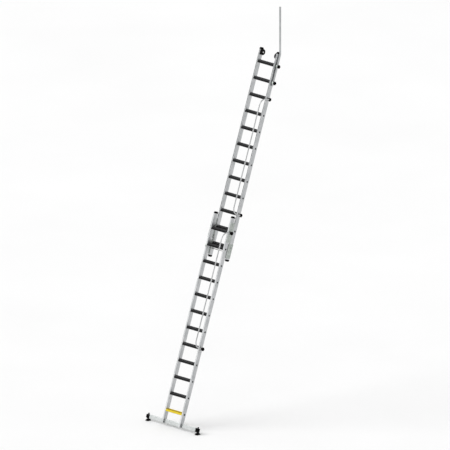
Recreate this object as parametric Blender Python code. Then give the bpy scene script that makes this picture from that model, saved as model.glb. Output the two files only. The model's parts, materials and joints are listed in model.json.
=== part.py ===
"""Two-section extension ladder with wide treads, leaning at its working angle.

Units are metres, +Z is up. The origin is on the floor, midway between the two
feet. The ladder leans towards +Y; +X is the climber's right-hand side.

Both sections are built in the frame of the lean empty: x across the ladder,
y back towards the wall, z up along the stiles. Its origin is midway between
the lower ends of the base stiles. The fly section sits behind the base one.
"""

from math import cos, pi, radians, sin, tan

import bmesh
import bpy
from mathutils import Matrix, Vector

# ---- Driving dimensions -------------------------------------------------------

LEAN = radians(70)  # the stiles' angle from the floor
CLEARANCE = 0.0003  # between two pieces that touch
RUNNING = 0.0006  # between two pieces that slide or turn on each other

TREAD_PITCH = 0.280
TREAD_COUNT = 12
TREAD_DEPTH = 0.080
TREAD_THICKNESS = 0.033
TREAD_WALL = 0.0025
TREAD_ROUND = 0.004
TREAD_RISE = 0.0065  # a tread's middle, above the axis of its end fixing
FIRST_TREAD = 0.221  # end fixing of the lowest base tread, above the stile's lower end

STILE_SPACING = 0.393  # centre to centre, both sections
STILE_WIDTH = 0.025
STILE_DEPTH = 0.080
STILE_WALL = 0.0025
STILE_ROUND = 0.003
SLOT_MOUTH = 0.009  # T-slot down the face that looks at the other section
SLOT_WIDTH = 0.017
SLOT_LIP = 0.0022
SLOT_DEPTH = 0.0092

SECTION_OFFSET = 0.110  # fly stiles behind the base stiles
BASE_ABOVE = 0.247  # stile above the last tread's fixing
FLY_BELOW = 0.199
FLY_ABOVE = 0.204
EXTENSION_PITCHES = 10

CAP_DOME = 0.032
CAP_PLUG = 0.014
CAP_PROUD = 0.001  # a cap stands this far outside its stile
CAP_ROUND = 0.0045
DOME = ((0, 0), (0.45, 0), (0.75, 0.003), (0.95, 0.008), (1, 0.0115))  # share of its height, inset

CROSSBAR_LENGTH = 1.060
CROSSBAR_HEIGHT = 0.070
CROSSBAR_DEPTH = 0.030
CROSSBAR_WALL = 0.0025
CROSSBAR_LOW = 0.002  # lower edge, above the stiles' lower ends
CROSSBAR_INSET = 0.016  # rear face, ahead of the stiles' rear faces
CROSSBAR_ROUND = 0.003
LOWER_END_HEIGHT = 0.0430  # middle of the stiles' lower ends, above the floor

FOOT_SPACING = 1.144
FOOT_PIVOT_HEIGHT = 0.040
SOLE_WIDTH = 0.060
SOLE_DEPTH = 0.080
SOLE_THICKNESS = 0.014
SOLE_ROUND = 0.008
FLARE_TOP = 0.028
FLARE_WIDTH = 0.046
FLARE_DEPTH = 0.052
FLARE_STEP = 0.0005  # height of the ledge between flare and neck
NECK_WIDTH = 0.025
NECK_RADIUS = 0.011
NECK_ROUND = 0.002
NECK_ROOM = 0.002  # above the neck, inside its holder
PIN_RADIUS = 0.004
HOLDER_WIDTH = 0.046
HOLDER_DEPTH = 0.056
HOLDER_LOW = 0.012
HOLDER_HIGH = 0.070
HOLDER_SPIGOT = 0.045
HOLDER_WALL = 0.004
PIN_INSET = 0.002  # the pin's ends, inside the holder's faces
CHEEK_RADIUS = 0.0095
LOCK_RADIUS = 0.013
LOCK_HEIGHT = 0.024
LOCK_CHAMFER = 0.004
CUT_SPARE = 0.010  # a cutting tool reaches this far past what it cuts

PLATE_THICKNESS = 0.004
BASE_GUIDE_LENGTH = 0.330
FLY_GUIDE_LENGTH = 0.240
BASE_GUIDE_TOP = 0.078  # from the base stile's upper end down to the base guide
FLY_GUIDE_LOW = 0.022  # from the fly stile's lower end up to the fly guide
PLATE_GAP = 0.0035  # a guide's plate stops this far short of the other section's stile
GUIDE_STRAP = 0.045  # height of the straps that wrap the left stiles
STRAP_ROOT = 0.010  # a strap overlaps its plate this far
TONGUE_WIDTH = 0.0078
TONGUE_HEAD = 0.0150

HANDRAIL_RADIUS = 0.010
HANDRAIL_BEND = 0.120
HANDRAIL_CORNER = 0.024
HANDRAIL_ROOT = 0.002  # a rail's end, inside its bracket
BASE_RAIL_OUT = 0.045  # rail's run, outside the stile's middle
BASE_RAIL_FORWARD = 0.190
FLY_RAIL_OUT = 0.072
FLY_RAIL_FORWARD = 0.224
BASE_RAIL_TREADS = (5, 12)
FLY_RAIL_TREADS = (3, 10)
BRACKET_FRONT = 0.039
BRACKET_REAR = 0.0335
BRACKET_ROUND = 0.010
BRACKET_HALF_HEIGHT = 0.022

KNOB_RADIUS = 0.030
KNOB_LOBES = 5
KNOB_LOBE_DEPTH = 0.0035
KNOB_THICKNESS = 0.021
KNOB_STEM_RADIUS = 0.0045
KNOB_BEHIND = 0.013  # handrail knob behind the stile's middle
KNOB_BESIDE_RAIL = 0.001  # gap from a handrail knob to the rail's end
KNOB_START = 0.036  # knob's inner face, outside the stile's middle

GRAB_RADIUS = 0.0165
GRAB_OUT = 0.0325
GRAB_BEHIND = 0.009
GRAB_BEND = 0.110
GRAB_RISE = 0.820  # vertical part, from the corner of its bend up
GRAB_TREADS = (11, 12)  # the fly treads that its clamps are level with
GRAB_END_BELOW = 0.051  # its lower end, below the lower clamp
GRAB_CORNER_ABOVE = 0.199  # corner of its bend, above the upper clamp
GRAB_KNOB_GAP = 0.004  # its knobs' heads, outside their clamps
CLAMP_HALF_DEPTH = 0.023
CLAMP_HALF_HEIGHT = 0.019
CLAMP_WALL = 0.004
CLAMP_ROUND = 0.006

ROLLER_RADIUS = 0.050
ROLLER_WIDTH = 0.028
ROLLER_IN = 0.033  # its middle, inside the stile's middle
ROLLER_BEHIND = 0.009
ROLLER_BELOW = 0.043  # its axle, below the fly stile's upper end
ROLLER_EDGE = 0.006
AXLE_RADIUS = 0.006
AXLE_HEAD_RADIUS = 0.010
AXLE_HEAD = 0.003
ARM_HALF_DEPTH = 0.018

TIE_ROD_RADIUS = 0.006
TIE_ROD_BELOW = 0.085  # below the first fly tread's fixing

LATCH_PLATE = 0.006
LATCH_PIVOT_RISE = 0.064  # above the first fly tread's fixing
LATCH_PIVOT_FORWARD = 0.010
LATCH_HUB = 0.012
LATCH_ARM = 0.090
LATCH_TOE = 0.024
LATCH_TOE_DROP = 0.012
LATCH_TOE_BEVEL = 0.004
LATCH_BACK = 0.010
LATCH_PARKED = radians(107.5)  # the arm's direction at rest, from +y towards +z

# ---- Values that follow from them -----------------------------------------------

TILT = pi / 2 - LEAN
HALF_SPACING = STILE_SPACING / 2
HALF_WIDTH = STILE_WIDTH / 2
HALF_DEPTH = STILE_DEPTH / 2
INNER_FACE = HALF_SPACING - HALF_WIDTH
LAST_TREAD = FIRST_TREAD + (TREAD_COUNT - 1) * TREAD_PITCH
BASE_TOP = LAST_TREAD + BASE_ABOVE
FLY_BOTTOM = FIRST_TREAD - FLY_BELOW
FLY_TOP = LAST_TREAD + FLY_ABOVE
# The fly hangs so that its treads are level with the base treads in front of them.
FLY_LIFT = SECTION_OFFSET / tan(LEAN)
FLY_DATUM = EXTENSION_PITCHES * TREAD_PITCH + FLY_LIFT
GRAB_LOW = FIRST_TREAD + (GRAB_TREADS[0] - 1) * TREAD_PITCH - GRAB_END_BELOW
GRAB_CORNER = FIRST_TREAD + (GRAB_TREADS[1] - 1) * TREAD_PITCH + GRAB_CORNER_ABOVE
RAIL_END = KNOB_BEHIND - KNOB_RADIUS - KNOB_BESIDE_RAIL - HANDRAIL_RADIUS
CROSSBAR_Y = HALF_DEPTH - CROSSBAR_INSET - CROSSBAR_DEPTH / 2
CROSSBAR_Z = CROSSBAR_LOW + CROSSBAR_HEIGHT / 2
LEAN_ORIGIN = Vector((0, -CROSSBAR_Y * cos(TILT) - CROSSBAR_Z * sin(TILT), LOWER_END_HEIGHT))
PLATE_INNER = HALF_WIDTH + CLEARANCE
PLATE_OUTER = PLATE_INNER + PLATE_THICKNESS
LEFT, RIGHT = -1, 1
SIDES = (("left", LEFT), ("right", RIGHT))


def tread_fixing(number):
    """Height of a tread's end fixing above its section's datum."""
    return FIRST_TREAD + (number - 1) * TREAD_PITCH


# ---- Materials --------------------------------------------------------------------


def material(name, color, roughness, metallic=0.0):
    made = bpy.data.materials.new(name)
    made.use_nodes = True
    shader = made.node_tree.nodes["Principled BSDF"]
    shader.inputs["Base Color"].default_value = (*color, 1)
    shader.inputs["Roughness"].default_value = roughness
    shader.inputs["Metallic"].default_value = metallic
    return made


# ---- Mesh helpers -----------------------------------------------------------------


def place(name, bm, finish, parent=None, location=(0, 0, 0), turn=0.0, smooth=False):
    """Make an object of bm. turn is its rotation about x."""
    bmesh.ops.recalc_face_normals(bm, faces=bm.faces)
    mesh = bpy.data.meshes.new(name)
    bm.to_mesh(mesh)
    bm.free()
    if smooth:
        mesh.shade_smooth()
        mesh.set_sharp_from_angle(angle=radians(35))
    mesh.materials.append(finish)
    made = bpy.data.objects.new(name, mesh)
    bpy.context.scene.collection.objects.link(made)
    made.parent = parent
    made.location = location
    made.rotation_euler = (turn, 0, 0)
    return made


def prism(outline, low, high, along="x", holes=()):
    """Extrude an outline, with any holes through it, between two stations of an axis.

    Along x the outline holds (y, z) points, and along z it holds (x, y) points.
    """
    bm = bmesh.new()
    ends = ([], [])
    for loop in (outline, *holes):
        rings = []
        for edges, station in zip(ends, (low, high)):
            if along == "x":
                ring = [bm.verts.new((station, a, b)) for a, b in loop]
            else:
                ring = [bm.verts.new((a, b, station)) for a, b in loop]
            edges += [bm.edges.new((v, ring[i - 1])) for i, v in enumerate(ring)]
            rings.append(ring)
        for i in range(len(loop)):
            bm.faces.new((rings[0][i - 1], rings[0][i], rings[1][i], rings[1][i - 1]))
    for edges in ends:
        bmesh.ops.triangle_fill(bm, use_beauty=True, edges=edges)
    return bm


def stack(rings):
    """Join rings of points, each with the same number of them, and close both ends."""
    bm = bmesh.new()
    made = [[bm.verts.new(point) for point in ring] for ring in rings]
    for lower, upper in zip(made, made[1:]):
        for i in range(len(lower)):
            bm.faces.new((lower[i - 1], lower[i], upper[i], upper[i - 1]))
    bm.faces.new(made[0])
    bm.faces.new(made[-1])
    return bm


def rectangle(width, depth, x=0.0, y=0.0):
    return [
        (x + sx * width / 2, y + sy * depth / 2)
        for sx, sy in ((-1, -1), (1, -1), (1, 1), (-1, 1))
    ]


def rounded(width, depth, radius, steps=2):
    """Outline of a rectangle about (0, 0), its corners rounded in so many steps."""
    points = []
    for corner, (sx, sy) in enumerate(((1, 1), (-1, 1), (-1, -1), (1, -1))):
        for step in range(steps + 1):
            angle = (corner + step / steps) * pi / 2
            points.append(
                (
                    sx * (width / 2 - radius) + radius * cos(angle),
                    sy * (depth / 2 - radius) + radius * sin(angle),
                )
            )
    return points


def circle(radius, sides, a=0.0, b=0.0):
    return [
        (a + radius * cos(2 * pi * i / sides), b + radius * sin(2 * pi * i / sides))
        for i in range(sides)
    ]


def turned_on_x(profile, sides):
    """Turn (x, radius) points about the x axis and close the ends."""
    return stack([[(x, a, b) for a, b in circle(radius, sides)] for x, radius in profile])


def filleted(corners, radii, step=radians(18)):
    """Path through corners, each inner one rounded to its radius."""
    path = [Vector(corners[0])]
    for before, corner, after, radius in zip(corners, corners[1:], corners[2:], radii):
        corner = Vector(corner)
        arriving = (corner - Vector(before)).normalized()
        leaving = (Vector(after) - corner).normalized()
        turn = arriving.angle(leaving)
        start = corner - arriving * radius * tan(turn / 2)
        middle = start + (leaving - arriving * arriving.dot(leaving)).normalized() * radius
        axis = arriving.cross(leaving).normalized()
        steps = max(2, round(turn / step))
        for i in range(steps + 1):
            path.append(middle + Matrix.Rotation(turn * i / steps, 3, axis) @ (start - middle))
    path.append(Vector(corners[-1]))
    return path


def tube(path, radius, sides):
    """Sweep a round section along a path."""
    across = None
    rings = []
    for i, point in enumerate(path):
        before = path[max(i - 1, 0)]
        after = path[min(i + 1, len(path) - 1)]
        ahead = ((after - point).normalized() + (point - before).normalized()).normalized()
        if across is None:
            across = ahead.orthogonal()
        across = (across - ahead * across.dot(ahead)).normalized()
        other = ahead.cross(across)
        rings.append([point + across * a + other * b for a, b in circle(radius, sides)])
    return stack(rings)


def boolean(target, operation, tool):
    """Add or cut a tool object, which stays hidden."""
    tool.hide_render = True
    tool.display_type = "WIRE"
    modifier = target.modifiers.new(operation.title(), "BOOLEAN")
    modifier.operation = operation
    modifier.solver = "EXACT"
    modifier.object = tool


def box_tool(name, low, high, finish, parent=None):
    outline = [(low[1], low[2]), (high[1], low[2]), (high[1], high[2]), (low[1], high[2])]
    return place(name, prism(outline, low[0], high[0]), finish, parent)


# ---- Stiles and treads --------------------------------------------------------------


def stile_outline(slot_side):
    """Outer outline of a stile; slot_side is the sign of y that its T-slot faces."""
    mouth, width = SLOT_MOUTH / 2, SLOT_WIDTH / 2
    lip = HALF_DEPTH - SLOT_LIP
    floor = HALF_DEPTH - SLOT_DEPTH
    slot = [(mouth, HALF_DEPTH), (mouth, lip), (width, lip), (width, floor)]
    slot += [(-x, y) for x, y in reversed(slot)]
    edge = rounded(STILE_WIDTH, STILE_DEPTH, STILE_ROUND)
    steps = len(edge) // 4
    outline = edge[:steps] + slot + edge[steps:]
    return [(x, y * slot_side) for x, y in outline]


def stile_void(slot_side):
    """Outline of the hollow inside a stile."""
    front = -HALF_DEPTH + STILE_WALL
    rear = HALF_DEPTH - SLOT_DEPTH - STILE_WALL
    outline = rectangle(STILE_WIDTH - 2 * STILE_WALL, rear - front, y=(front + rear) / 2)
    return [(x, y * slot_side) for x, y in outline]


def add_stile(name, finish, section, side, low, high, slot_side):
    bm = prism(stile_outline(slot_side), low, high, "z", [stile_void(slot_side)])
    return place(name, bm, finish, section, (side * HALF_SPACING, 0, 0))


def add_treads(prefix, section, finishes):
    """Hollow treads between the stiles, level when the ladder leans."""
    half = INNER_FACE - CLEARANCE
    outline = rounded(TREAD_DEPTH, TREAD_THICKNESS, TREAD_ROUND)
    hollow = rectangle(TREAD_DEPTH - 2 * TREAD_WALL, TREAD_THICKNESS - 2 * TREAD_WALL)
    for number in range(1, TREAD_COUNT + 1):
        finish = finishes.get(number, finishes[0])
        height = tread_fixing(number) + TREAD_RISE
        bm = prism(outline, -half, half, holes=[hollow])
        place(f"{prefix}_tread_{number:02d}", bm, finish, section, (0, 0, height), TILT)


def cap_mesh(slot_side, up):
    """Domed end cap with a plug for the stile's hollow, seated at z = 0."""
    void = stile_void(slot_side)
    plug_y = (void[0][1] + void[2][1]) / 2
    plug_width = STILE_WIDTH - 2 * STILE_WALL - 2 * CLEARANCE
    plug_depth = abs(void[2][1] - void[0][1]) - 2 * CLEARANCE
    plug = [(x, y + plug_y) for x, y in rounded(plug_width, plug_depth, 0.002)]
    width, depth = STILE_WIDTH + 2 * CAP_PROUD, STILE_DEPTH + 2 * CAP_PROUD
    levels = [(-CAP_PLUG, plug), (CLEARANCE, plug)]
    for share, inset in DOME:
        ring = rounded(width - 2 * inset, depth - 3 * inset, CAP_ROUND - 0.3 * inset)
        levels.append((CLEARANCE + share * CAP_DOME, ring))
    return stack([[(x, y, z * up) for x, y in ring] for z, ring in levels])


# ---- Lower end: crossbar, holders and feet -------------------------------------------


def add_crossbar(finish, section):
    outline = [
        (y + CROSSBAR_Y, z + CROSSBAR_Z)
        for y, z in rounded(CROSSBAR_DEPTH, CROSSBAR_HEIGHT, CROSSBAR_ROUND)
    ]
    inside = [
        (y + CROSSBAR_Y, z + CROSSBAR_Z)
        for y, z in rectangle(CROSSBAR_DEPTH - 2 * CROSSBAR_WALL, CROSSBAR_HEIGHT - 2 * CROSSBAR_WALL)
    ]
    half = CROSSBAR_LENGTH / 2
    place("crossbar", prism(outline, -half, half, holes=[inside]), finish, section)


def notch_for_crossbar(stile, finish):
    """Cut the rear of a base stile's lower end away, where the crossbar passes."""
    low = (-STILE_WIDTH, CROSSBAR_Y - CROSSBAR_DEPTH / 2 - CLEARANCE, -STILE_WIDTH)
    high = (STILE_WIDTH, STILE_DEPTH, CROSSBAR_LOW + CROSSBAR_HEIGHT + CLEARANCE)
    boolean(stile, "DIFFERENCE", box_tool(stile.name + "_notch", low, high, finish, stile))


def to_lean(y, z):
    """Turn a world (y, z) into the lean frame."""
    dy, dz = y - LEAN_ORIGIN.y, z - LEAN_ORIGIN.z
    return dy * cos(TILT) - dz * sin(TILT), dy * sin(TILT) + dz * cos(TILT)


def add_foot(label, side, holder_finish, pad_finish, section):
    middle = side * FOOT_SPACING / 2
    pivot_y, pivot_z = to_lean(0, FOOT_PIVOT_HEIGHT)
    front, rear = CROSSBAR_Y - HOLDER_DEPTH / 2, CROSSBAR_Y + HOLDER_DEPTH / 2
    # The two cheeks hang below the body and end round the pivot pin.
    arc = [radians(angle) for angle in range(180, 361, 30)]
    cheek = [(pivot_y + CHEEK_RADIUS * cos(a), pivot_z + CHEEK_RADIUS * sin(a)) for a in arc]
    outline = [(front, HOLDER_LOW)] + cheek
    outline += [(rear, HOLDER_LOW), (rear, HOLDER_HIGH), (front, HOLDER_HIGH)]
    low, high = middle - HOLDER_WIDTH / 2, middle + HOLDER_WIDTH / 2
    holder = place(f"foot_holder_{label}", prism(outline, low, high), holder_finish, section)

    slot_half = NECK_WIDTH / 2 + RUNNING
    slot_top = pivot_z + NECK_RADIUS + RUNNING + NECK_ROOM
    slot = box_tool(
        holder.name + "_slot",
        (middle - slot_half, front - CUT_SPARE, pivot_z - CHEEK_RADIUS - CUT_SPARE),
        (middle + slot_half, rear + CUT_SPARE, slot_top),
        holder_finish,
        section,
    )
    boolean(holder, "DIFFERENCE", slot)

    pin = turned_on_x([(low + PIN_INSET, PIN_RADIUS), (high - PIN_INSET, PIN_RADIUS)], 10)
    pin_tool = place(holder.name + "_pin", pin, holder_finish, section, (0, pivot_y, pivot_z))
    boolean(holder, "UNION", pin_tool)

    spigot_wall = CROSSBAR_WALL + CLEARANCE
    spigot_ends = sorted((side * (CROSSBAR_LENGTH / 2 - HOLDER_SPIGOT), middle - side * slot_half))
    spigot = [
        (y + CROSSBAR_Y, z + CROSSBAR_Z)
        for y, z in rectangle(CROSSBAR_DEPTH - 2 * spigot_wall, CROSSBAR_HEIGHT - 2 * spigot_wall)
    ]
    spigot = [(y, max(slot_top + NECK_ROOM, min(z, HOLDER_HIGH - HOLDER_WALL))) for y, z in spigot]
    spigot_tool = place(holder.name + "_spigot", prism(spigot, *spigot_ends), holder_finish, section)
    boolean(holder, "UNION", spigot_tool)

    lock = stack(
        [
            [(a, b, HOLDER_HIGH + z) for a, b in circle(LOCK_RADIUS * scale, 12)]
            for z, scale in (
                (-HOLDER_WALL, 0.8),
                (LOCK_CHAMFER, 0.8),
                (2 * LOCK_CHAMFER, 1),
                (LOCK_HEIGHT - LOCK_CHAMFER, 1),
                (LOCK_HEIGHT, 0.7),
            )
        ]
    )
    lock_tool = place(holder.name + "_lock", lock, holder_finish, section, (middle, CROSSBAR_Y, 0))
    boolean(holder, "UNION", lock_tool)

    down = -FOOT_PIVOT_HEIGHT
    levels = (
        (down, SOLE_WIDTH, SOLE_DEPTH, SOLE_ROUND),
        (down + SOLE_THICKNESS, SOLE_WIDTH, SOLE_DEPTH, SOLE_ROUND),
        (down + FLARE_TOP, FLARE_WIDTH, FLARE_DEPTH, SOLE_ROUND),
        (down + FLARE_TOP + FLARE_STEP, NECK_WIDTH, 2 * NECK_RADIUS, NECK_ROUND),
        (0, NECK_WIDTH, 2 * NECK_RADIUS, NECK_ROUND),
        (NECK_RADIUS * 0.7, NECK_WIDTH, 1.5 * NECK_RADIUS, NECK_ROUND),
        (NECK_RADIUS, NECK_WIDTH, 0.7 * NECK_RADIUS, NECK_ROUND),
    )
    rings = [[(x, y, z) for x, y in rounded(w, d, r)] for z, w, d, r in levels]
    pad = place(f"foot_pad_{label}", stack(rings), pad_finish, None, (middle, 0, FOOT_PIVOT_HEIGHT))
    bore = turned_on_x([(-NECK_WIDTH, PIN_RADIUS + RUNNING), (NECK_WIDTH, PIN_RADIUS + RUNNING)], 10)
    boolean(pad, "DIFFERENCE", place(pad.name + "_bore", bore, pad_finish, pad))


# ---- Guides between the sections ------------------------------------------------------


def tongue(root, face, direction):
    """Half of a T-shaped tongue from y = root into a slot behind the face it meets."""
    neck, head = TONGUE_WIDTH / 2, TONGUE_HEAD / 2
    inner_lip = face + direction * (SLOT_LIP + RUNNING)
    tip = face + direction * (SLOT_DEPTH - RUNNING)
    right = [(neck, root), (neck, inner_lip), (head, inner_lip), (head, tip)]
    return right + [(-x, y) for x, y in reversed(right)]


def guide_outline(root_face, far_face, direction, plate_from, plate_to):
    """Plate on the outer face, web across the narrow face, and tongue, in (x, y).

    root_face is the narrow face that the guide is fixed to, far_face the one that
    its tongue runs in, and direction the sign of y from the first to the second.
    """
    web_near = root_face + direction * CLEARANCE
    web_far = web_near + direction * PLATE_THICKNESS
    return [
        (PLATE_INNER, plate_from),
        (PLATE_OUTER, plate_from),
        (PLATE_OUTER, plate_to),
        (PLATE_INNER, plate_to),
        (PLATE_INNER, web_far),
        *tongue(web_far, far_face, direction),
        (-HALF_WIDTH, web_far),
        (-HALF_WIDTH, web_near),
        (PLATE_INNER, web_near),
    ]


def strap_outline(start, end, direction):
    """Strap that carries a left-hand plate on round the other section's stile."""
    hook = end + direction * PLATE_THICKNESS
    reach = -0.2 * STILE_WIDTH
    return [
        (PLATE_OUTER, start),
        (PLATE_OUTER, hook),
        (reach, hook),
        (reach, end),
        (PLATE_INNER, end),
        (PLATE_INNER, start),
    ]


def add_guides(finish, base, fly):
    """Base guides run in the fly stiles' slots, and fly guides in the base stiles'."""
    base_top = BASE_TOP - BASE_GUIDE_TOP
    base_low = base_top - BASE_GUIDE_LENGTH
    fly_low = FLY_BOTTOM + FLY_GUIDE_LOW
    fly_top = fly_low + FLY_GUIDE_LENGTH
    fly_face = SECTION_OFFSET - HALF_DEPTH
    other = HALF_DEPTH - SECTION_OFFSET
    plate_reach = fly_face - PLATE_GAP
    specs = (
        ("base_guide", base, HALF_DEPTH, fly_face, 1, -HALF_DEPTH, plate_reach, base_low, base_top),
        ("fly_guide", fly, -HALF_DEPTH, other, -1, HALF_DEPTH, -plate_reach, fly_low, fly_top),
    )
    for prefix, section, root, far, way, plate_from, plate_to, low, high in specs:
        for label, side in SIDES:
            outline = guide_outline(root, far, way, plate_from, plate_to)
            outline = [(x * side, y) for x, y in outline]
            bm = prism(outline, low, high, "z")
            guide = place(f"{prefix}_{label}", bm, finish, section, (side * HALF_SPACING, 0, 0))
            if side == LEFT:
                end = way * (SECTION_OFFSET + HALF_DEPTH + RUNNING)
                strap = [(x * side, y) for x, y in strap_outline(plate_to - way * STRAP_ROOT, end, way)]
                middle = (low + high) / 2
                strap_bm = prism(strap, middle - GUIDE_STRAP / 2, middle + GUIDE_STRAP / 2, "z")
                tool = place(guide.name + "_strap", strap_bm, finish, guide)
                boolean(guide, "UNION", tool)


# ---- Handrails, grab rail and knobs ------------------------------------------------------


def add_handrail(name, finish, section, out, forward, treads, seats):
    """Rail on the right stile. seats holds where each end's bracket meets the ladder."""
    low, high = (tread_fixing(number) for number in treads)
    stile = HALF_SPACING
    corners = [
        (stile + seats[0] + HANDRAIL_ROOT, RAIL_END, low),
        (stile + out, RAIL_END, low),
        (stile + out, -forward, low),
        (stile + out, -forward, high),
        (stile + out, RAIL_END, high),
        (stile + seats[1] + HANDRAIL_ROOT, RAIL_END, high),
    ]
    bends = (HANDRAIL_CORNER, HANDRAIL_BEND, HANDRAIL_BEND, HANDRAIL_CORNER)
    rail = place(name, tube(filleted(corners, bends), HANDRAIL_RADIUS, 12), finish, section, smooth=True)
    for label, height, seat in (("lower", low, seats[0]), ("upper", high, seats[1])):
        width = BRACKET_REAR + BRACKET_FRONT
        centre = (BRACKET_REAR - BRACKET_FRONT) / 2
        plate = [
            (y + centre, z + height)
            for y, z in rounded(width, 2 * BRACKET_HALF_HEIGHT, BRACKET_ROUND)
        ]
        hole = circle(KNOB_STEM_RADIUS + RUNNING, 10, KNOB_BEHIND, height)
        bm = prism(plate, stile + seat, stile + seat + PLATE_THICKNESS, holes=[hole])
        boolean(rail, "UNION", place(f"{name}_{label}_bracket", bm, finish, section))
    return low, high


def knob_mesh(start, stem_end):
    """Star knob about the x axis: its stem begins at stem_end, its head at start."""
    count = 4 * KNOB_LOBES

    def ring(x, radius, lobe):
        points = []
        for i in range(count):
            angle = 2 * pi * i / count
            r = radius - lobe * (1 - cos(KNOB_LOBES * angle)) / 2
            points.append((x, r * cos(angle), r * sin(angle)))
        return points

    return stack(
        [
            ring(stem_end, KNOB_STEM_RADIUS, 0),
            ring(start, KNOB_STEM_RADIUS, 0),
            ring(start, KNOB_RADIUS * 0.6, KNOB_LOBE_DEPTH / 2),
            ring(start + KNOB_THICKNESS * 0.4, KNOB_RADIUS, KNOB_LOBE_DEPTH),
            ring(start + KNOB_THICKNESS * 0.85, KNOB_RADIUS, KNOB_LOBE_DEPTH),
            ring(start + KNOB_THICKNESS, KNOB_RADIUS * 0.8, KNOB_LOBE_DEPTH / 2),
        ]
    )


def add_knob(name, finish, section, behind, height, start, stem_end):
    bm = knob_mesh(start, stem_end)
    place(name, bm, finish, section, (HALF_SPACING, behind, height))


def add_grab_rail(rail_finish, clamp_finish, knob_finish, fly):
    """Tube along the fly's right stile that bends upright above the ladder."""
    x = HALF_SPACING + GRAB_OUT
    upright = Vector((0, -sin(TILT), cos(TILT)))
    corner = Vector((x, GRAB_BEHIND, GRAB_CORNER))
    corners = [(x, GRAB_BEHIND, GRAB_LOW), corner, corner + upright * GRAB_RISE]
    path = filleted(corners, [GRAB_BEND], radians(5))
    place("grab_rail", tube(path, GRAB_RADIUS, 16), rail_finish, fly, smooth=True)
    inner = PLATE_INNER
    outer = GRAB_OUT + GRAB_RADIUS + RUNNING + CLAMP_WALL
    for label, number in zip(("lower", "upper"), GRAB_TREADS):
        height = tread_fixing(number)
        low, high = height - CLAMP_HALF_HEIGHT, height + CLAMP_HALF_HEIGHT
        outline = [
            (HALF_SPACING + (inner + outer) / 2 + a, GRAB_BEHIND + b)
            for a, b in rounded(outer - inner, 2 * CLAMP_HALF_DEPTH, CLAMP_ROUND)
        ]
        # The wall towards the stile is thin, so the bore is round about the tube's own axis.
        bore = circle(GRAB_RADIUS + RUNNING, 16, x, GRAB_BEHIND)
        place(f"grab_clamp_{label}", prism(outline, low, high, "z", [bore]), clamp_finish, fly)
        add_knob(
            f"grab_knob_{label}",
            knob_finish,
            fly,
            GRAB_BEHIND,
            height,
            outer + GRAB_KNOB_GAP,
            outer + CLEARANCE,
        )


# ---- Upper and lower ends of the fly ---------------------------------------------------


def add_roller_end(label, side, cap_finish, roller_finish, fly):
    """End cap with an arm and an axle on its inner side, and the wall roller on it."""
    cap = place(f"fly_top_cap_{label}", cap_mesh(-1, 1), cap_finish, fly, (side * HALF_SPACING, 0, FLY_TOP))
    axle_z = -ROLLER_BELOW
    arm_outer = HALF_WIDTH + CLEARANCE
    arm_inner = ROLLER_IN - ROLLER_WIDTH / 2 - RUNNING
    arm = [(ROLLER_BEHIND - ARM_HALF_DEPTH, CAP_DOME * 0.5), (ROLLER_BEHIND - ARM_HALF_DEPTH, axle_z)]
    arcs = [radians(angle) for angle in range(210, 331, 30)]
    arm += [(ROLLER_BEHIND + ARM_HALF_DEPTH * cos(a), axle_z + ARM_HALF_DEPTH * sin(a)) for a in arcs]
    arm += [(ROLLER_BEHIND + ARM_HALF_DEPTH, axle_z), (ROLLER_BEHIND + ARM_HALF_DEPTH, CAP_DOME * 0.5)]
    ends = sorted((-side * arm_outer, -side * arm_inner))
    arm_tool = place(cap.name + "_arm", prism(arm, *ends), cap_finish, cap)
    bridge_ends = sorted((0, -side * arm_inner))
    bridge = [
        (ROLLER_BEHIND - ARM_HALF_DEPTH, CAP_DOME * 0.1),
        (ROLLER_BEHIND + ARM_HALF_DEPTH, CAP_DOME * 0.1),
        (ROLLER_BEHIND + ARM_HALF_DEPTH, CAP_DOME * 0.5),
        (ROLLER_BEHIND - ARM_HALF_DEPTH, CAP_DOME * 0.5),
    ]
    bridge_tool = place(cap.name + "_bridge", prism(bridge, *bridge_ends), cap_finish, cap)
    far = ROLLER_IN + ROLLER_WIDTH / 2 + RUNNING
    profile = (
        (-side * (arm_outer + CLEARANCE), AXLE_RADIUS),
        (-side * far, AXLE_RADIUS),
        (-side * far, AXLE_HEAD_RADIUS),
        (-side * (far + AXLE_HEAD), AXLE_HEAD_RADIUS * 0.8),
    )
    axle = turned_on_x(profile, 14)
    axle_tool = place(cap.name + "_axle", axle, cap_finish, cap, (0, ROLLER_BEHIND, axle_z))
    for tool in (arm_tool, bridge_tool, axle_tool):
        boolean(cap, "UNION", tool)

    half = ROLLER_WIDTH / 2
    bore = AXLE_RADIUS + RUNNING
    ring = (
        (-half, bore),
        (-half, ROLLER_RADIUS - ROLLER_EDGE),
        (-half + ROLLER_EDGE * 0.4, ROLLER_RADIUS - ROLLER_EDGE * 0.4),
        (-half + ROLLER_EDGE, ROLLER_RADIUS),
        (half - ROLLER_EDGE, ROLLER_RADIUS),
        (half - ROLLER_EDGE * 0.4, ROLLER_RADIUS - ROLLER_EDGE * 0.4),
        (half, ROLLER_RADIUS - ROLLER_EDGE),
        (half, bore),
    )
    sides = 24
    bm = bmesh.new()
    rings = [[bm.verts.new((x, a, b)) for a, b in circle(radius, sides)] for x, radius in ring]
    for i, points in enumerate(rings):
        for j in range(sides):
            bm.faces.new((rings[i - 1][j - 1], rings[i - 1][j], points[j], points[j - 1]))
    spot = (side * (HALF_SPACING - ROLLER_IN), ROLLER_BEHIND, FLY_TOP + axle_z)
    place(f"wall_roller_{label}", bm, roller_finish, fly, spot, smooth=True)


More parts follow.
